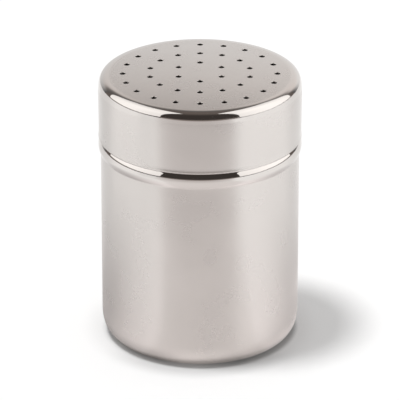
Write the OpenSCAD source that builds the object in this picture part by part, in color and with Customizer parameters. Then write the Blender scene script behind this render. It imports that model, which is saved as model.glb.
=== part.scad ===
// Sugar caster: a drawn steel cup with a rolled stop bead, and a push-on lid with sprinkling holes.
// Millimetres. The cup stands on z = 0 and every piece is round about the z axis.

/* [Cup] */
// Outside diameter of the straight wall
cup_d = 68.5; // [50:0.5:100]
// Thickness of the steel sheet that both pieces are drawn from
sheet = 0.5; // [0.3:0.05:0.8]
// How far the rounded corner at the foot reaches in under the wall
foot_w = 4.8; // [2:0.1:10]
// How far the rounded corner at the foot reaches up the wall
foot_h = 8; // [2:0.1:12]
// Width of the flat ring that the cup stands on
foot_ring_w = 3.4; // [2:0.2:8]
// How far the middle of the base is pushed up inside that ring
base_rise = 1; // [0.4:0.1:4]

/* [Stop bead] */
// Height of the bead's crest above the table
bead_z = 70.5; // [40:0.1:120]
// How far the bead stands out from the wall
bead_proud = 0.85; // [0.5:0.05:2]
// Outside radius of the bead's crest
bead_r = 4.5; // [2:0.1:6]
// Outside radius of the hollow that eases the bead into the wall
bead_blend_r = 1.2; // [0.8:0.1:6]

/* [Lid] */
// Height of the lid from its edge to the middle of its top
lid_h = 23.1; // [14:0.1:40]
// How far the rounded shoulder reaches in over the top
shoulder_w = 4; // [2:0.1:7]
// How far the rounded shoulder reaches down the wall
shoulder_h = 6.2; // [2:0.1:10]
// How square the shoulder is: 2 makes it an ellipse, and more fills its corner
shoulder_power = 3.8; // [2:0.1:6]
// Rise of the domed top from over the wall to the middle
crown = 1.25; // [0.3:0.05:4]

/* [Fit of the lid] */
// Radial gap between the cup's neck and the lid's skirt
skirt_gap = 0.25; // [0.1:0.05:0.4]
// Height of the lid's edge above the part of the bead that it closes onto
seat_gap = 0.85; // [0.1:0.05:1]

/* [Sprinkling holes] */
// Diameter of one hole
hole_d = 2; // [1:0.1:4]
// Distance from the lid's outside to the middle of the outer ring of holes
ring_margin = 8.5; // [6:0.5:15]
// Distance from one ring of holes to the next
ring_step = 9; // [5:0.5:15]
// Spacing of the holes along a ring
hole_pitch = 8.3; // [5:0.1:15]

/* [Hidden] */
$fn = 120;
arc_steps = 14;
steel = [0.78, 0.76, 0.74];
bright_steel = [0.84, 0.82, 0.80];

cup_r = cup_d / 2;
foot_core = [cup_r - foot_w, foot_h];
ring_in_r = foot_core.x - foot_ring_w;
base_r = (pow(ring_in_r, 2) + pow(base_rise, 2)) / (2 * base_rise);

bead_core = [cup_r + bead_proud - bead_r, bead_z];
blend_core_r = cup_r + bead_blend_r;
bead_lean = acos((blend_core_r - bead_core.x) / (bead_r + bead_blend_r));
bead_half_h = (bead_r + bead_blend_r) * sin(bead_lean);

lid_r = cup_r + skirt_gap + sheet;
lid_edge_z = bead_z + bead_rise(skirt_gap) + seat_gap;
top_z = lid_edge_z + lid_h;
shoulder_core_r = lid_r - shoulder_w;
shoulder_z = dome_z(lid_r) - shoulder_h;
rim_z = shoulder_z;

// Height of the bead's upper flank over its crest, at a distance out from the wall
function bead_rise(out) = out < bead_blend_r * (1 - cos(bead_lean))
    ? bead_half_h - sqrt(pow(bead_blend_r, 2) - pow(bead_blend_r - out, 2))
    : sqrt(pow(bead_r, 2) - pow(bead_r + min(out - bead_proud, 0), 2));

// Points of an arc, as radius and height; skip leaves out its first point, where it goes on from another arc
function arc(core, r, from, to, skip = 0) = [
    for (i = [skip:arc_steps])
        let (turn = from + (to - from) * i / arc_steps)
        core + r * [cos(turn), sin(turn)]
];

function reverse(path) = [for (i = [len(path) - 1:-1:0]) path[i]];

// One side of the foot's corner, a quarter of an upright oval, from the standing ring to the wall
function foot_corner(inset) = [
    for (i = [0:arc_steps])
        let (turn = 90 * i / arc_steps)
        foot_core + [(foot_w - inset) * sin(turn), -(foot_h - inset) * cos(turn)]
];

// One side of the cup's sheet, from the middle of the base to the rim
function cup_skin(inset) = concat(
    arc([0, base_rise - base_r], base_r + inset, 90, 90 - acos(1 - base_rise / (base_r + inset))),
    foot_corner(inset),
    arc([blend_core_r, bead_z - bead_half_h], bead_blend_r + inset, 180, 180 - bead_lean),
    arc(bead_core, bead_r - inset, -bead_lean, bead_lean, 1),
    arc([blend_core_r, bead_z + bead_half_h], bead_blend_r + inset, 180 + bead_lean, 180, 1),
    [[cup_r - inset, rim_z]]
);

// Height of the lid's domed top at a distance from its middle
function dome_z(r) = top_z - crown * pow(r / lid_r, 2);

// One side of the shoulder, a quarter of a squarish oval that hangs from the dome, from the wall to the top
function shoulder(inset) = [
    for (i = [arc_steps:-1:0])
        let (
            turn = 90 * i / arc_steps,
            out = pow(sin(turn), 2 / shoulder_power),
            down = 1 - pow(cos(turn), 2 / shoulder_power),
            r = shoulder_core_r + (shoulder_w - inset) * out
        )
        [r, dome_z(r) - inset - (shoulder_h - inset) * down]
];

// One side of the lid's sheet, from its edge to the middle of its top
function lid_skin(inset) = concat(
    [[lid_r - inset, lid_edge_z]],
    shoulder(inset),
    [
        for (i = [arc_steps - 1:-1:0])
            let (r = shoulder_core_r * i / arc_steps)
            [r, dome_z(r) - inset]
    ]
);

// A round piece of sheet between its outer and its inner side
module drawn(outer, inner) {
    rotate_extrude()
        polygon(concat(outer, reverse(inner)));
}

// Rings of holes from the outer one inwards, each with a hole on the front and the back centre line
module sprinkling_holes() {
    for (ring_r = [lid_r - ring_margin:-ring_step:hole_d]) {
        holes = 2 * round(PI * ring_r / hole_pitch);
        for (i = [0:holes - 1])
            rotate(90 + 360 * i / holes)
                translate([ring_r, 0, shoulder_z])
                    cylinder(d = hole_d, h = top_z - shoulder_z + sheet);
    }
}

module cup() {
    color(steel)
        drawn(cup_skin(0), cup_skin(sheet));
}

module lid() {
    color(bright_steel)
        difference() {
            drawn(lid_skin(0), lid_skin(sheet));
            sprinkling_holes();
        }
}

cup();
lid();
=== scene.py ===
import math

import bpy
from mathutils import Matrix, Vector


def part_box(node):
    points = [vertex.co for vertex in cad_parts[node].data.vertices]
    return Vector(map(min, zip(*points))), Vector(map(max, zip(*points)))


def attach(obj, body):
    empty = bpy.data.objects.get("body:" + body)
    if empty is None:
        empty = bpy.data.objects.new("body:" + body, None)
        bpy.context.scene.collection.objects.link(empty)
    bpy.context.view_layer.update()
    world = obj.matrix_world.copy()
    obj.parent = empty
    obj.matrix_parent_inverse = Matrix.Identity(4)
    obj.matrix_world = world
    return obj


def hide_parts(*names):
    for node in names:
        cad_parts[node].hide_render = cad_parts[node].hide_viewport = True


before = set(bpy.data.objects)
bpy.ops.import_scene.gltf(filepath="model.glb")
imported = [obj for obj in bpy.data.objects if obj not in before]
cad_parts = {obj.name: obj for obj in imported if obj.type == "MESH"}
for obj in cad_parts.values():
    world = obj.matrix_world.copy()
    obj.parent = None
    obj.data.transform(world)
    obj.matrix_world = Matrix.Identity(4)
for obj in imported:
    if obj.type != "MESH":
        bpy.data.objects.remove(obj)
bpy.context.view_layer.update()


# Cup
# A single blank of stainless sheet, deep drawn to a straight wall with a rounded foot and a base pushed up
# inside its standing ring. A bead is rolled into the wall as a stop for the lid, and the neck above it is
# left plain.
mm = 0.001
sheet = 0.5 * mm
foot_w = 4.8 * mm
foot_h = 8.0 * mm
foot_ring_w = 3.4 * mm
base_rise = 1.0 * mm
bead_z = 70.5 * mm
bead_proud = 0.85 * mm
bead_r = 4.5 * mm
bead_blend_r = 1.2 * mm
cup_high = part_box("cup")[1]
cup_r = cup_high.x - bead_proud
rim_z = cup_high.z - sheet / 2

shell_turns = 256
base_steps = 12
foot_steps = 24
blend_steps = 8
crest_steps = 16
edge_steps = 8
wall_rows = 40
neck_rows = 16
on_axis = 1e-4 * mm


def oval(core, half_w, half_h, start, end, steps, skip=0):
    """Points along an oval in the plane of radius and height, from one angle in degrees to another. A skip
    leaves out the first of them, where the curve goes on from another one."""
    points = []
    for i in range(skip, steps + 1):
        angle = math.radians(start + (end - start) * i / steps)
        points.append((core[0] + half_w * math.cos(angle), core[1] + half_h * math.sin(angle)))
    return points


def arc(core, r, start, end, steps, skip=0):
    """Points along an arc in the same plane."""
    return oval(core, r, r, start, end, steps, skip)


def between(start, end, steps):
    """Points that part a straight line into equal steps, without its two ends."""
    return [
        tuple(a + (b - a) * i / steps for a, b in zip(start, end))
        for i in range(1, steps)
    ]


def turned(name, outline, turns):
    """A closed mesh of an outline turned about the Z axis. Both ends of the outline lie on the axis."""
    points, faces, rings = [], [], []
    for r, z in outline:
        start = len(points)
        if r < on_axis:
            points.append((0, 0, z))
            rings.append([start] * turns)
        else:
            for j in range(turns):
                angle = 2 * math.pi * j / turns
                points.append((r * math.cos(angle), r * math.sin(angle), z))
            rings.append(list(range(start, start + turns)))
    for lower, upper in zip(rings, rings[1:]):
        for j in range(turns):
            k = (j + 1) % turns
            corners = [lower[j], lower[k], upper[k], upper[j]]
            faces.append(list(dict.fromkeys(corners)))
    mesh = bpy.data.meshes.new(name)
    mesh.from_pydata(points, [], faces)
    mesh.shade_smooth()
    return mesh


def cup_side(inset):
    """One side of the cup's sheet, from the middle of the base to the start of the rounded rim."""
    wall_r = cup_r - inset
    foot_core = (cup_r - foot_w, foot_h)
    ring_in_r = foot_core[0] - foot_ring_w
    base_r = (ring_in_r**2 + base_rise**2) / (2 * base_rise) + inset
    base_turn = math.degrees(math.acos(1 - base_rise / base_r))
    blend_core_r = cup_r + bead_blend_r
    lean = math.degrees(math.acos(1 - bead_proud / (bead_r + bead_blend_r)))
    half_h = (bead_r + bead_blend_r) * math.sin(math.radians(lean))
    base = arc((0, base_rise - base_r + inset), base_r, 90, 90 - base_turn, base_steps)
    foot = oval(foot_core, foot_w - inset, foot_h - inset, -90, 0, foot_steps)
    lower = arc((blend_core_r, bead_z - half_h), bead_blend_r + inset, 180, 180 - lean, blend_steps)
    crest = arc((cup_r + bead_proud - bead_r, bead_z), bead_r - inset, -lean, lean, crest_steps, 1)
    upper = arc((blend_core_r, bead_z + half_h), bead_blend_r + inset, 180 + lean, 180, blend_steps, 1)
    wall = between((wall_r, foot_h), lower[0], wall_rows)
    neck = between(upper[-1], (wall_r, rim_z), neck_rows)
    return base + foot + wall + lower + crest + upper + neck


scene = bpy.context.scene
rim = arc((cup_r - sheet / 2, rim_z), sheet / 2, 0, 180, edge_steps)
cup_outline = cup_side(0) + rim + cup_side(sheet)[::-1]
cup = bpy.data.objects.new("cup_shell", turned("cup_shell", cup_outline, shell_turns))
scene.collection.objects.link(cup)


def add_node(tree, kind, **settings):
    """A new node of that kind, with its settings."""
    made = tree.nodes.new(kind)
    for name, value in settings.items():
        setattr(made, name, value)
    return made


def feed(tree, socket, value):
    """Links another socket to an input, or sets a number or colour on it."""
    if isinstance(value, bpy.types.NodeSocket):
        tree.links.new(value, socket)
    else:
        socket.default_value = value


def math_node(tree, operation, *values):
    """A Math node on sockets or numbers."""
    made = add_node(tree, "ShaderNodeMath", operation=operation)
    for socket, value in zip(made.inputs, values):
        feed(tree, socket, value)
    return made.outputs["Value"]


def product(tree, *factors):
    """The product of two or more sockets or numbers."""
    result = factors[0]
    for factor in factors[1:]:
        result = math_node(tree, "MULTIPLY", result, factor)
    return result


def mix(tree, kind, factor, first, second):
    """A blend of two sockets, numbers or colours."""
    made = add_node(tree, "ShaderNodeMix", data_type=kind)
    for name, value in (("Factor", factor), ("A", first), ("B", second)):
        feed(tree, made.inputs[name], value)
    return made.outputs["Result"]


def map_range(tree, value, low, high, to_low, to_high):
    """A smooth step of a value from one range to another."""
    made = add_node(tree, "ShaderNodeMapRange", interpolation_type="SMOOTHSTEP")
    tree.links.new(value, made.inputs["Value"])
    for name, number in (("From Min", low), ("From Max", high), ("To Min", to_low), ("To Max", to_high)):
        made.inputs[name].default_value = number
    return made.outputs["Result"]


def band(tree, value, low, high, ease):
    """One between two values and nothing outside them, with a soft step at each."""
    rise = map_range(tree, value, low - ease / 2, low + ease / 2, 0, 1)
    fall = map_range(tree, value, high - ease / 2, high + ease / 2, 1, 0)
    return product(tree, rise, fall)


def grain_group():
    """Fine lines that a polishing belt leaves round a turning piece, and the soft marks of handling over
    them. It also gives a point's distance from the axis and its height."""
    tree = bpy.data.node_groups.new("belt_grain", "ShaderNodeTree")
    for name, value in (("Lines", 9000.0), ("Sweep", 9.0), ("Marks", 70.0)):
        socket = tree.interface.new_socket(name, in_out="INPUT", socket_type="NodeSocketFloat")
        socket.default_value = value
    for name in ("Grain", "Smudge", "Radius", "Height"):
        tree.interface.new_socket(name, in_out="OUTPUT", socket_type="NodeSocketFloat")
    given = add_node(tree, "NodeGroupInput")
    result = add_node(tree, "NodeGroupOutput")
    place = add_node(tree, "ShaderNodeTexCoord")
    split = add_node(tree, "ShaderNodeSeparateXYZ")
    flat = add_node(tree, "ShaderNodeCombineXYZ")
    length = add_node(tree, "ShaderNodeVectorMath", operation="LENGTH")
    outward = add_node(tree, "ShaderNodeVectorMath", operation="NORMALIZE")
    swept = add_node(tree, "ShaderNodeVectorMath", operation="SCALE")
    swept_split = add_node(tree, "ShaderNodeSeparateXYZ")
    cell = add_node(tree, "ShaderNodeCombineXYZ")
    lines = add_node(tree, "ShaderNodeTexNoise", noise_dimensions="4D")
    marks = add_node(tree, "ShaderNodeTexNoise")
    for noise, detail, roughness in ((lines, 3.0, 0.6), (marks, 4.0, 0.55)):
        noise.inputs["Detail"].default_value = detail
        noise.inputs["Roughness"].default_value = roughness
    lines.inputs["Scale"].default_value = 1.0
    link = tree.links.new
    link(place.outputs["Object"], split.inputs[0])
    link(split.outputs["X"], flat.inputs["X"])
    link(split.outputs["Y"], flat.inputs["Y"])
    link(flat.outputs[0], length.inputs[0])
    link(flat.outputs[0], outward.inputs[0])
    link(outward.outputs["Vector"], swept.inputs[0])
    link(given.outputs["Sweep"], swept.inputs["Scale"])
    link(swept.outputs["Vector"], swept_split.inputs[0])
    link(swept_split.outputs["X"], cell.inputs["X"])
    link(swept_split.outputs["Y"], cell.inputs["Y"])
    link(product(tree, split.outputs["Z"], given.outputs["Lines"]), cell.inputs["Z"])
    link(cell.outputs[0], lines.inputs["Vector"])
    link(product(tree, length.outputs["Value"], given.outputs["Lines"]), lines.inputs["W"])
    link(place.outputs["Object"], marks.inputs["Vector"])
    link(given.outputs["Marks"], marks.inputs["Scale"])
    link(lines.outputs["Fac"], result.inputs["Grain"])
    link(marks.outputs["Fac"], result.inputs["Smudge"])
    link(length.outputs["Value"], result.inputs["Radius"])
    link(split.outputs["Z"], result.inputs["Height"])
    return tree


belt_grain = grain_group()
steel_tint = (0.766, 0.727, 0.699, 1)
steel_shade = (0.737, 0.698, 0.669, 1)
grain_share = 0.1
brushing = 0.95
quarter_turn = 0.25
worn_range = (0.15, 0.85)
satin_spread = 0.035
mark_range = (0.3, 0.7)
bright_roughness = (0.04, 0.09)
line_roughness = (0.1, 0.3)
line_strength = 0.025
line_depth = 0.02 * mm


def drawn_steel(name, satin_roughness, brushed, polish):
    """Satin stainless steel, its shine drawn out across the belt's lines if brushed. The polish says where it
    is bright: it is a function of the material's tree and its grain."""
    material = bpy.data.materials.new(name)
    material.use_nodes = True
    tree = material.node_tree
    shader = tree.nodes["Principled BSDF"]
    shader.inputs["Metallic"].default_value = 1.0
    if brushed:
        shader.inputs["Anisotropic"].default_value = brushing
        shader.inputs["Anisotropic Rotation"].default_value = quarter_turn
        tangent = add_node(tree, "ShaderNodeTangent", direction_type="RADIAL", axis="Z")
        tree.links.new(tangent.outputs["Tangent"], shader.inputs["Tangent"])
    grain = add_node(tree, "ShaderNodeGroup", node_tree=belt_grain)
    smudged = product(tree, grain.outputs["Smudge"], 1 - grain_share)
    worn = math_node(tree, "MULTIPLY_ADD", grain.outputs["Grain"], grain_share, smudged)
    tree.links.new(mix(tree, "RGBA", worn, steel_shade, steel_tint), shader.inputs["Base Color"])
    satin = map_range(tree, worn, *worn_range, satin_roughness - satin_spread, satin_roughness + satin_spread)
    bright = map_range(tree, grain.outputs["Smudge"], *mark_range, *bright_roughness)
    finish = mix(tree, "FLOAT", polish(tree, grain), satin, bright)
    tree.links.new(finish, shader.inputs["Roughness"])
    bump = add_node(tree, "ShaderNodeBump")
    bump.inputs["Strength"].default_value = line_strength
    bump.inputs["Distance"].default_value = line_depth
    lines = product(tree, grain.outputs["Grain"], map_range(tree, finish, *line_roughness, 0, 1))
    tree.links.new(lines, bump.inputs["Height"])
    tree.links.new(bump.outputs["Normal"], shader.inputs["Normal"])
    return material


wall_roughness = 0.26
bright_below_bead = 2.4 * mm
bright_above_bead = 3.4 * mm
bead_ease = 0.8 * mm


def bead_polish(tree, grain):
    """The bead is bright, with the wall just above and below it."""
    low = bead_z - bright_below_bead
    high = bead_z + bright_above_bead
    return band(tree, grain.outputs["Height"], low, high, bead_ease)


cup.data.materials.append(drawn_steel("cup_steel", wall_roughness, True, bead_polish))
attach(cup, "cup")
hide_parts("cup")


# Lid
# A second drawn cap of the same sheet, pushed over the cup's neck. Its shoulder is polished bright, and its
# domed top is pierced with rings of punched holes. The skirt draws in a hair towards its cut edge, which is
# rolled smooth and opened out where it meets the bead.
lid_low, lid_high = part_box("lid")
lid_r = lid_high.x
edge_z = lid_low.z
top_z = lid_high.z
crown = 1.25 * mm
shoulder_w = 4.0 * mm
shoulder_h = 6.2 * mm
shoulder_power = 3.8
shoulder_core_r = lid_r - shoulder_w
skirt_taper = 0.12 * mm
flare_out = 0.16 * mm
flare_h = 1.2 * mm

flare_steps = 5
skirt_rows = 20
shoulder_steps = 40
top_rows = 40


def dome_z(r):
    """Height of the domed top at a distance from its middle."""
    return top_z - crown * (r / lid_r) ** 2


def lid_side(inset):
    """One side of the lid's sheet, from the start of its rounded edge to the middle of the top."""
    edge_r = lid_r - inset - skirt_taper
    flare = []
    for i in range(flare_steps + 1):
        share = i / flare_steps
        out = flare_out * (1 - math.sin(math.pi / 2 * share))
        flare.append((edge_r + out, edge_z + sheet / 2 + flare_h * share))
    shoulder = []
    for i in range(shoulder_steps, -1, -1):
        turn = math.pi / 2 * i / shoulder_steps
        r = shoulder_core_r + (shoulder_w - inset) * math.sin(turn) ** (2 / shoulder_power)
        down = 1 - max(math.cos(turn), 0) ** (2 / shoulder_power)
        shoulder.append((r, dome_z(r) - inset - (shoulder_h - inset) * down))
    skirt = between(flare[-1], shoulder[0], skirt_rows)
    top = []
    for i in range(top_rows - 1, -1, -1):
        r = shoulder_core_r * i / top_rows
        top.append((r, dome_z(r) - inset))
    return flare + skirt + shoulder + top


edge_core = (lid_r - skirt_taper + flare_out - sheet / 2, edge_z + sheet / 2)
edge = arc(edge_core, sheet / 2, 180, 360, edge_steps)[1:-1]
lid_outline = lid_side(sheet)[::-1] + edge + lid_side(0)
lid = bpy.data.objects.new("lid_shell", turned("lid_shell", lid_outline, shell_turns))
scene.collection.objects.link(lid)

top_roughness = 0.26
wall_polish_z = (top_z - 5.4 * mm, top_z - 4.1 * mm)
top_polish_r = (shoulder_core_r - 0.4 * mm, shoulder_core_r + 1.0 * mm)


def shoulder_polish(tree, grain):
    """The shoulder is bright down to where it meets the lid's wall."""
    return map_range(tree, grain.outputs["Height"], *wall_polish_z, 0, 1)


def top_polish(tree, grain):
    """The shoulder is bright in to where it meets the lid's top."""
    return map_range(tree, grain.outputs["Radius"], *top_polish_r, 0, 1)


lid_steel = drawn_steel("lid_steel", wall_roughness, True, shoulder_polish)
top_steel = drawn_steel("lid_top_steel", top_roughness, False, top_polish)
plain_top_r = lid_r - 1.2 * mm

hole_r = 1.0 * mm
hole_lip = 0.12 * mm
hole_turns = 20
lip_steps = 4
punch_depth = 3 * sheet
outer_ring_r = lid_r - 8.5 * mm
ring_step = 9.0 * mm
hole_pitch = 8.3 * mm
ring_count = 3
sharp_turn = math.radians(35)


def hole_punch():
    """The shape that a punched hole takes out of the sheet: a straight bore under a small rolled-in lip."""
    outline = [(0, -punch_depth), (hole_r, -punch_depth), (hole_r, -hole_lip)]
    outline += arc((hole_r + hole_lip, -hole_lip), hole_lip, 180, 90, lip_steps, 1)
    outline += [(hole_r + 2 * hole_lip, sheet), (0, sheet)]
    return bpy.data.objects.new("hole_punch", turned("hole_punch", outline, hole_turns))


def perforation_tree(punch):
    """Rings of holes punched through the top, each with a hole on the front and the back centre line. Returns
    the tree and its sizes by the identifier of their sockets."""
    tree = bpy.data.node_groups.new("perforations", "GeometryNodeTree")
    tree.interface.new_socket("Geometry", in_out="INPUT", socket_type="NodeSocketGeometry")
    sizes = {}
    for name, value in (
        ("Outer ring radius", outer_ring_r), ("Ring step", ring_step), ("Hole spacing", hole_pitch),
        ("Top height", top_z), ("Crown", crown), ("Lid radius", lid_r), ("Plain top radius", plain_top_r),
    ):
        made = tree.interface.new_socket(name, in_out="INPUT", socket_type="NodeSocketFloat")
        sizes[made.identifier] = value
    tree.interface.new_socket("Geometry", in_out="OUTPUT", socket_type="NodeSocketGeometry")
    link = tree.links.new
    given = add_node(tree, "NodeGroupInput")
    punch_info = add_node(tree, "GeometryNodeObjectInfo")
    punch_info.inputs["Object"].default_value = punch
    gathered = add_node(tree, "GeometryNodeJoinGeometry")
    for ring in range(ring_count):
        inward = product(tree, given.outputs["Ring step"], ring)
        radius = math_node(tree, "SUBTRACT", given.outputs["Outer ring radius"], inward)
        half_round = product(tree, radius, math.pi)
        pairs = math_node(tree, "ROUND", math_node(tree, "DIVIDE", half_round, given.outputs["Hole spacing"]))
        circle = add_node(tree, "GeometryNodeMeshCircle")
        link(product(tree, pairs, 2), circle.inputs["Vertices"])
        link(radius, circle.inputs["Radius"])
        share = math_node(tree, "DIVIDE", radius, given.outputs["Lid radius"])
        drop = product(tree, share, share, given.outputs["Crown"])
        offset = add_node(tree, "ShaderNodeCombineXYZ")
        link(math_node(tree, "SUBTRACT", given.outputs["Top height"], drop), offset.inputs["Z"])
        place = add_node(tree, "GeometryNodeTransform")
        place.inputs["Rotation"].default_value = (0, 0, math.pi / 2)
        link(circle.outputs["Mesh"], place.inputs["Geometry"])
        link(offset.outputs[0], place.inputs["Translation"])
        punches = add_node(tree, "GeometryNodeInstanceOnPoints")
        link(place.outputs["Geometry"], punches.inputs["Points"])
        link(punch_info.outputs["Geometry"], punches.inputs["Instance"])
        link(punches.outputs["Instances"], gathered.inputs["Geometry"])
    cutters = add_node(tree, "GeometryNodeRealizeInstances")
    link(gathered.outputs["Geometry"], cutters.inputs["Geometry"])
    pierced = add_node(tree, "GeometryNodeMeshBoolean", operation="DIFFERENCE", solver="EXACT")
    link(given.outputs["Geometry"], pierced.inputs["Mesh 1"])
    link(cutters.outputs["Geometry"], pierced.inputs["Mesh 2"])
    whole = add_node(tree, "GeometryNodeRealizeInstances")
    link(pierced.outputs["Mesh"], whole.inputs["Geometry"])
    walls = add_node(tree, "GeometryNodeSetMaterial")
    walls.inputs["Material"].default_value = lid_steel
    link(whole.outputs["Geometry"], walls.inputs["Geometry"])
    across = add_node(tree, "ShaderNodeVectorMath", operation="MULTIPLY")
    across.inputs[1].default_value = (1, 1, 0)
    link(add_node(tree, "GeometryNodeInputPosition").outputs["Position"], across.inputs[0])
    from_axis = add_node(tree, "ShaderNodeVectorMath", operation="LENGTH")
    link(across.outputs["Vector"], from_axis.inputs[0])
    top = add_node(tree, "GeometryNodeSetMaterial")
    top.inputs["Material"].default_value = top_steel
    within = math_node(tree, "LESS_THAN", from_axis.outputs["Value"], given.outputs["Plain top radius"])
    link(within, top.inputs["Selection"])
    link(walls.outputs["Geometry"], top.inputs["Geometry"])
    result = add_node(tree, "NodeGroupOutput")
    link(top.outputs["Geometry"], result.inputs["Geometry"])
    return tree, sizes


punch = hole_punch()
piercing, ring_sizes = perforation_tree(punch)
modifier = lid.modifiers.new("perforations", "NODES")
modifier.node_group = piercing
for identifier, value in ring_sizes.items():
    modifier[identifier] = value
pierced_mesh = bpy.data.meshes.new_from_object(lid.evaluated_get(bpy.context.evaluated_depsgraph_get()))
lid.modifiers.clear()
lid.data = pierced_mesh
lid.data.shade_smooth()
lid.data.set_sharp_from_angle(angle=sharp_turn)
bpy.data.objects.remove(punch)
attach(lid, "lid")
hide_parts("lid")


# Table
# A plain white table top that the caster stands on. It takes the caster's shadow from the lamp. A shade round
# the foot and a dark line in the narrow gap under the foot's rounded corner are painted into its colour, and
# it is lifted to white where the lens and the steel see it.
table_half = 3.0
table_tone = 0.9
table_lift = 0.08
table_roughness = 0.9
quad = [(0, 1, 2, 3)]


def white_rays(tree):
    """One where a ray comes from the lens, a mirror or a glass, and nothing where a matt surface sends it."""
    path = add_node(tree, "ShaderNodeLightPath")
    seen = math_node(tree, "MAXIMUM", path.outputs["Is Camera Ray"], path.outputs["Is Glossy Ray"])
    return math_node(tree, "MAXIMUM", seen, path.outputs["Is Transmission Ray"])


def from_cup(tree):
    """How far a point of the table lies out from the cup's wall, and its direction from the axis: how much of
    it is to the right and how much to the back."""
    place = add_node(tree, "ShaderNodeTexCoord")
    across = add_node(tree, "ShaderNodeVectorMath", operation="MULTIPLY")
    across.inputs[1].default_value = (1, 1, 0)
    from_axis = add_node(tree, "ShaderNodeVectorMath", operation="LENGTH")
    outward = add_node(tree, "ShaderNodeVectorMath", operation="NORMALIZE")
    split = add_node(tree, "ShaderNodeSeparateXYZ")
    tree.links.new(place.outputs["Object"], across.inputs[0])
    tree.links.new(across.outputs["Vector"], from_axis.inputs[0])
    tree.links.new(across.outputs["Vector"], outward.inputs[0])
    tree.links.new(outward.outputs["Vector"], split.inputs[0])
    away = math_node(tree, "SUBTRACT", from_axis.outputs["Value"], cup_r)
    return away, split.outputs["X"], split.outputs["Y"]


table_corners = [(x * table_half, y * table_half, 0) for x, y in ((-1, -1), (1, -1), (1, 1), (-1, 1))]
table_mesh = bpy.data.meshes.new("table")
table_mesh.from_pydata(table_corners, [], quad)
table = bpy.data.objects.new("table", table_mesh)
scene.collection.objects.link(table)
table_white = bpy.data.materials.new("table_white")
table_white.use_nodes = True
tree = table_white.node_tree
table_shader = tree.nodes["Principled BSDF"]
table_shader.inputs["Roughness"].default_value = table_roughness
table_shader.inputs["Specular IOR Level"].default_value = 0.0
table_shader.inputs["Emission Color"].default_value = (1, 1, 1, 1)
away, to_right, to_back = from_cup(tree)
mirrored = add_node(tree, "ShaderNodeLightPath").outputs["Is Glossy Ray"]

# A painted soft shade round the foot, in the table's colour: the lens sees it most at the front, and the
# steel on the left alone
soft_reach = 9 * mm
front_to_side = (-0.95, -0.4)
lens_depth = (0.26, 0.08)
left_to_front = (-0.6, -0.1)
mirror_depth = (0.3, 0)
soft_depth = mix(
    tree, "FLOAT", mirrored,
    map_range(tree, to_back, *front_to_side, *lens_depth),
    map_range(tree, to_right, *left_to_front, *mirror_depth),
)
painted_foot_shade = product(tree, soft_depth, map_range(tree, away, 0, soft_reach, 1, 0))

# A painted shade: the dark line where the foot's corner closes on the table, deepest on the right
gap_reach = (-2 * mm, 0.7 * mm)
front_to_right = (-0.1, 0.5)
gap_depth = (0.18, 0.5)
painted_gap_shade = product(
    tree, map_range(tree, away, *gap_reach, 1, 0), map_range(tree, to_right, *front_to_right, *gap_depth)
)
# Both painted shades darken the table's colour and its lift to white
painted_shade_factor = product(tree, math_node(tree, "SUBTRACT", 1, painted_foot_shade), math_node(tree, "SUBTRACT", 1, painted_gap_shade))
tree.links.new(product(tree, painted_shade_factor, table_tone), table_shader.inputs["Base Color"])

# Painted light: a glow on the table that the steel alone sees, close to the foot except on the left, and
# further out on the right
foot_glow = 0.16
foot_glow_reach = (2 * mm, 12 * mm)
side_glow = 0.14
side_glow_reach = (8 * mm, 40 * mm)
side_glow_turn = (0.3, 0.75)
close_light = product(
    tree, map_range(tree, to_right, *left_to_front, 0, 1),
    map_range(tree, away, *foot_glow_reach, foot_glow, 0),
)
side_light = product(
    tree, map_range(tree, to_right, *side_glow_turn, 0, 1),
    map_range(tree, away, *side_glow_reach, side_glow, 0),
)
painted_mirror_light = product(tree, mirrored, math_node(tree, "ADD", close_light, side_light))
lift = product(tree, painted_shade_factor, white_rays(tree), table_lift)
tree.links.new(math_node(tree, "ADD", lift, painted_mirror_light), table_shader.inputs["Emission Strength"])
table.data.materials.append(table_white)


# Light tent
# A white tent stands round the caster: two side cloths arched over hoops, which leave a slit along the ridge,
# a backdrop with a soft spot of light on it, and a front open to a dim room with a low, paler wall. Only the
# steel sees any of it.
tent_r = 0.5
tent_axis_z = 85.5 * mm
ridge_front = 78.5
ridge_back = 72.5
opening_turn = math.radians(43)
front_hem_draw = 0.08
back_hem_top = 0.98
hoop_steps = 24
width_steps = 12
cloth_white = (1.0, 0.99, 0.98)
cloth_levels = ((-0.5, 0.84), (-0.25, 0.92), (0.0, 1.0), (0.2, 0.92), (0.5, 0.76))
ridge_z = (0.47, 0.575)
ridge_dim = 0.87


def mirrored_sheet(name, points, faces):
    """A sheet that only the steel sees. Returns the tree of its material, which has no shader yet."""
    mesh = bpy.data.meshes.new(name)
    mesh.from_pydata(points, [], faces)
    made = bpy.data.objects.new(name, mesh)
    scene.collection.objects.link(made)
    material = bpy.data.materials.new(name)
    material.use_nodes = True
    material.cycles.emission_sampling = "NONE"
    tree = material.node_tree
    tree.nodes.remove(tree.nodes["Principled BSDF"])
    made.data.materials.append(material)
    made.visible_camera = False
    made.visible_diffuse = False
    made.visible_shadow = False
    return tree


def cloth(name, points, faces, colour):
    """A glowing cloth or wall. Returns the tree of its material and the Emission node in it."""
    tree = mirrored_sheet(name, points, faces)
    glow = add_node(tree, "ShaderNodeEmission")
    glow.inputs["Color"].default_value = (*colour, 1)
    tree.links.new(glow.outputs[0], tree.nodes["Material Output"].inputs["Surface"])
    return tree, glow


def grid_faces(row_count, column_count):
    """Faces of a grid of points, listed row by row."""
    width = column_count + 1
    return [
        (i * width + j, i * width + j + 1, (i + 1) * width + j + 1, (i + 1) * width + j)
        for i in range(row_count)
        for j in range(column_count)
    ]


def upright(half_w, y, height):
    """Corners of an upright wall that runs from left to right."""
    return [(-half_w, y, 0), (half_w, y, 0), (half_w, y, height), (-half_w, y, height)]


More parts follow.
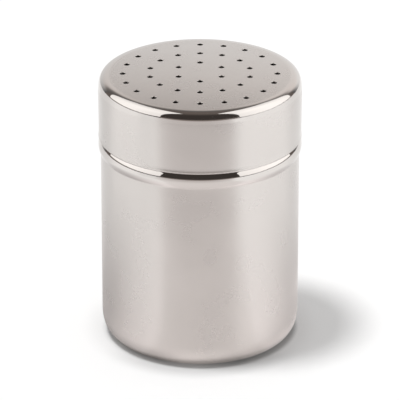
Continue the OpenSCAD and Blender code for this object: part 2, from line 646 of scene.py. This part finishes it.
def place_of(tree):
    """The X, Y and Z of a point's place, by name."""
    place = add_node(tree, "ShaderNodeTexCoord")
    split = add_node(tree, "ShaderNodeSeparateXYZ")
    tree.links.new(place.outputs["Object"], split.inputs[0])
    return split.outputs


def level_curve(tree, value, stops):
    """A smooth curve through a few levels, each given after the value that it belongs to."""
    first, last = stops[0][0], stops[-1][0]
    share = add_node(tree, "ShaderNodeMapRange")
    share.inputs["From Min"].default_value = first
    share.inputs["From Max"].default_value = last
    tree.links.new(value, share.inputs["Value"])
    ramp = add_node(tree, "ShaderNodeValToRGB")
    ramp.color_ramp.interpolation = "CARDINAL"
    stages = ramp.color_ramp.elements
    for at, _ in stops[1:-1]:
        stages.new((at - first) / (last - first))
    for stage, (_, level) in zip(stages, stops):
        stage.color = (level, level, level, 1)
    tree.links.new(share.outputs["Result"], ramp.inputs["Fac"])
    return ramp.outputs["Color"]


def side_cloth(name, side, strength, low, front_lift, back_lift, back_hem_foot, back_bend):
    """One side of the tent, its angles in degrees. Its lower hem lies low and lifts towards the front and the
    back, and its back hem bends from one share of the tent's radius at the foot to another at the ridge."""
    points = []
    for i in range(hoop_steps + 1):
        share = i / hoop_steps
        for j in range(width_steps + 1):
            along = j / width_steps
            hem = low + front_lift * (1 - along) ** 4 + back_lift * along**2
            ridge = ridge_front + (ridge_back - ridge_front) * along
            hoop = math.radians(hem + (ridge - hem) * share)
            half_w = tent_r * math.cos(hoop)
            front_y = -half_w / math.tan(opening_turn) * (1 - front_hem_draw * share**4)
            back_y = tent_r * (back_hem_foot + (back_hem_top - back_hem_foot) * share**back_bend)
            y = front_y + (back_y - front_y) * along
            points.append((side * half_w, y, tent_axis_z + tent_r * math.sin(hoop)))
    tree, glow = cloth(name, points, grid_faces(hoop_steps, width_steps), cloth_white)
    place = place_of(tree)
    lengthways = level_curve(tree, place["Y"], cloth_levels)
    upwards = map_range(tree, place["Z"], *ridge_z, strength, ridge_dim * strength)
    tree.links.new(product(tree, lengthways, upwards), glow.inputs["Strength"])


side_cloth(
    "tent_left", -1, strength=1.29, low=2, front_lift=4.5, back_lift=1.8, back_hem_foot=0.455, back_bend=1.6
)
side_cloth(
    "tent_right", 1, strength=1.36, low=-0.5, front_lift=3.5, back_lift=2, back_hem_foot=0.47, back_bend=2
)

backdrop_y = 0.9
backdrop_half_w = 1.2
backdrop_h = 1.2
backdrop_level = 0.12
spot_level = 0.77
spot_lean = 0.2
spot_across = (
    (-1.15, 0.0), (-0.8, 0.42), (-0.5, 0.72), (0.0, 0.92),
    (0.4, 1.0), (0.65, 0.84), (0.85, 0.42), (1.15, 0.0),
)
spot_upwards = ((0.25, 1.0), (0.45, 0.92), (0.62, 0.78), (0.74, 0.25), (0.95, 0.04))
plain_white = (1, 1, 1)
warm_white = (1, 0.94, 0.91)
warm_z = (0.3, 0.62)
tree, glow = cloth("backdrop", upright(backdrop_half_w, backdrop_y, backdrop_h), quad, plain_white)
place = place_of(tree)
leaning = math_node(tree, "SUBTRACT", place["Z"], product(tree, place["X"], spot_lean))
spot = product(
    tree, level_curve(tree, place["X"], spot_across), level_curve(tree, leaning, spot_upwards), spot_level
)
tree.links.new(math_node(tree, "ADD", spot, backdrop_level), glow.inputs["Strength"])
warmth = map_range(tree, place["Z"], *warm_z, 0, 1)
tree.links.new(mix(tree, "RGBA", warmth, (*plain_white, 1), (*warm_white, 1)), glow.inputs["Color"])

room_r = 2.4
room_steps = 32
room_tint = (1.0, 0.86, 0.79)
room_y = (-0.7 * room_r, 0.23 * room_r)
room_levels = (0.05, 0.15)
points = []
for i in range(room_steps // 4 + 1):
    rise = 2 * math.pi * i / room_steps
    for j in range(room_steps + 1):
        turn = 2 * math.pi * j / room_steps
        points.append((
            room_r * math.cos(rise) * math.cos(turn),
            room_r * math.cos(rise) * math.sin(turn),
            room_r * math.sin(rise),
        ))
tree, glow = cloth("room", points, grid_faces(room_steps // 4, room_steps), room_tint)
tree.links.new(map_range(tree, place_of(tree)["Y"], *room_y, *room_levels), glow.inputs["Strength"])

front_far = 1.3
front_half_w = front_far * math.tan(opening_turn)
front_h = 0.25
front_tint = (1.0, 0.88, 0.82)
front_levels = (0.4, 0.05)
tree, glow = cloth("front_wall", upright(front_half_w, -front_far, front_h), quad, front_tint)
tree.links.new(map_range(tree, place_of(tree)["Z"], 0, front_h, *front_levels), glow.inputs["Strength"])


# Shade on the table
# The caster and the tent keep some light off the table: close to the foot at the sides, in the corners beside
# the backdrop, and towards the open front. A clear sheet on the table dims it by that much where the steel
# sees it.
shade_z = 0.4 * mm
shade_in_r = cup_r - foot_w
shade_out_r = 2.2
shade_steps = 48
points = []
for r in (shade_in_r, shade_out_r):
    for j in range(shade_steps + 1):
        turn = 2 * math.pi * j / shade_steps
        points.append((r * math.cos(turn), r * math.sin(turn), shade_z))
tree = mirrored_sheet("table_shade", points, grid_faces(1, shade_steps))
away, to_right, to_back = from_cup(tree)

# On the left the shade starts at the foot, and is deepest beside the caster
left_reach = (20 * mm, 175 * mm)
left_turn = (-1, 0.6)
left_depth = 0.45
left_front = (-1.0, 0.2)
left_rear = (0.5, 1.0)
left_rear_share = 0.5
left_shade = product(
    tree,
    map_range(tree, away, *left_reach, 1, 0),
    map_range(tree, to_back, *left_front, 0, 1),
    map_range(tree, to_back, *left_rear, 1, left_rear_share),
    map_range(tree, to_right, *left_turn, left_depth, 0),
)

# On the right it is a ring that stands off the foot
ring_rise = (5 * mm, 40 * mm)
ring_fall = (40 * mm, 145 * mm)
right_turn = (0.2, 0.8)
right_depth = 0.3
right_front = (-0.6, 0.25)
right_shade = product(
    tree,
    map_range(tree, away, *ring_rise, 0, 1),
    map_range(tree, away, *ring_fall, 1, 0),
    map_range(tree, to_right, *right_turn, 0, right_depth),
    map_range(tree, to_back, *right_front, 0, 1),
)

# The corners beside the backdrop
corner_rise = (0.1, 0.55)
corner_fall = (0.7, 0.97)
left_to_right = (-0.6, 0.6)
corner_depth = (0.20, 0.13)
corner_shade = product(
    tree,
    map_range(tree, to_back, *corner_rise, 0, 1),
    map_range(tree, to_back, *corner_fall, 1, 0),
    map_range(tree, to_right, *left_to_right, *corner_depth),
)

# A patch further out, at the front of the left side
patch_reach = (130 * mm, 190 * mm)
patch_depth = 0.12
patch_turn = (-0.65, -0.5)
patch_rise = (-0.75, -0.62)
patch_fall = (-0.5, -0.25)
patch_shade = product(
    tree,
    map_range(tree, away, *patch_reach, 0, patch_depth),
    map_range(tree, to_right, *patch_turn, 1, 0),
    map_range(tree, to_back, *patch_rise, 0, 1),
    map_range(tree, to_back, *patch_fall, 1, 0),
)
side_shade = math_node(tree, "MAXIMUM", left_shade, right_shade)
far_shade = math_node(tree, "MAXIMUM", corner_shade, patch_shade)
shade = math_node(tree, "MAXIMUM", side_shade, far_shade)

# At the sides the light is a little warm close to the foot. Towards the open front the table darkens in two
# steps, one short and one long: close by, the dark part reaches further round on the right, and further out
# on the left.
side_near = (1.0, 0.965, 0.968, 1)
side_away = (1, 1, 1, 1)
side_reach = (30 * mm, 110 * mm)
front_near = (0.82, 0.79, 0.785, 1)
front_away = (0.62, 0.59, 0.585, 1)
front_reach = (80 * mm, 350 * mm)
skew_reach = (60 * mm, 180 * mm)
skew_range = (-0.1, 0.1)
short_step = (-0.82, -0.70)
short_share = 0.55
long_step = (-1.0, -0.69)
side_colour = mix(tree, "RGBA", map_range(tree, away, *side_reach, 0, 1), side_near, side_away)
front_colour = mix(tree, "RGBA", map_range(tree, away, *front_reach, 0, 1), front_near, front_away)
skew = product(tree, to_right, map_range(tree, away, *skew_reach, *skew_range))
skewed = math_node(tree, "ADD", to_back, skew)
forward = math_node(
    tree, "ADD", map_range(tree, skewed, *short_step, short_share, 0),
    map_range(tree, skewed, *long_step, 1 - short_share, 0),
)
dimmed = add_node(tree, "ShaderNodeVectorMath", operation="SCALE")
tree.links.new(mix(tree, "RGBA", forward, side_colour, front_colour), dimmed.inputs[0])
tree.links.new(math_node(tree, "SUBTRACT", 1, shade), dimmed.inputs["Scale"])
clear = add_node(tree, "ShaderNodeBsdfTransparent")
tree.links.new(dimmed.outputs["Vector"], clear.inputs["Color"])
tree.links.new(clear.outputs[0], tree.nodes["Material Output"].inputs["Surface"])


# Lamp and daylight
# One broad lamp high on the left throws the soft shadow to the right, and even daylight fills the rest. The
# steel doesn't mirror the lamp.
lamp_strength = 1.7
lamp_spread = math.radians(11)
lamp_from = Vector((-0.235, -0.03, 1.0))
day_fill = 0.54
lamp_data = bpy.data.lights.new("broad_lamp", "SUN")
lamp_data.energy = lamp_strength
lamp_data.angle = lamp_spread
lamp = bpy.data.objects.new("broad_lamp", lamp_data)
lamp.rotation_euler = lamp_from.to_track_quat("Z", "Y").to_euler()
lamp.visible_glossy = False
scene.collection.objects.link(lamp)

day = bpy.data.worlds.new("daylight")
day.use_nodes = True
scene.world = day
tree = day.node_tree
sky = tree.nodes["Background"]
sky.inputs["Color"].default_value = (1, 1, 1, 1)
tree.links.new(map_range(tree, white_rays(tree), 0, 1, day_fill, 1), sky.inputs["Strength"])


# Camera
# A long lens in front of the caster, on its centre line, which looks down at it. Colours are shown as they
# are rendered, with no film look over them.
camera_distance = 1.3565
camera_elevation = math.radians(24.24)
aim_height = 48.48 * mm
picture_px = 400
focal_px = 3905.8
sensor_w = 36.0
camera_data = bpy.data.cameras.new("camera")
camera_data.sensor_width = sensor_w
camera_data.lens = focal_px * sensor_w / picture_px
camera = bpy.data.objects.new("camera", camera_data)
camera.location = (
    0,
    -camera_distance * math.cos(camera_elevation),
    aim_height + camera_distance * math.sin(camera_elevation),
)
camera.rotation_euler = (math.pi / 2 - camera_elevation, 0, 0)
scene.collection.objects.link(camera)
scene.camera = camera
scene.view_settings.view_transform = "Standard"
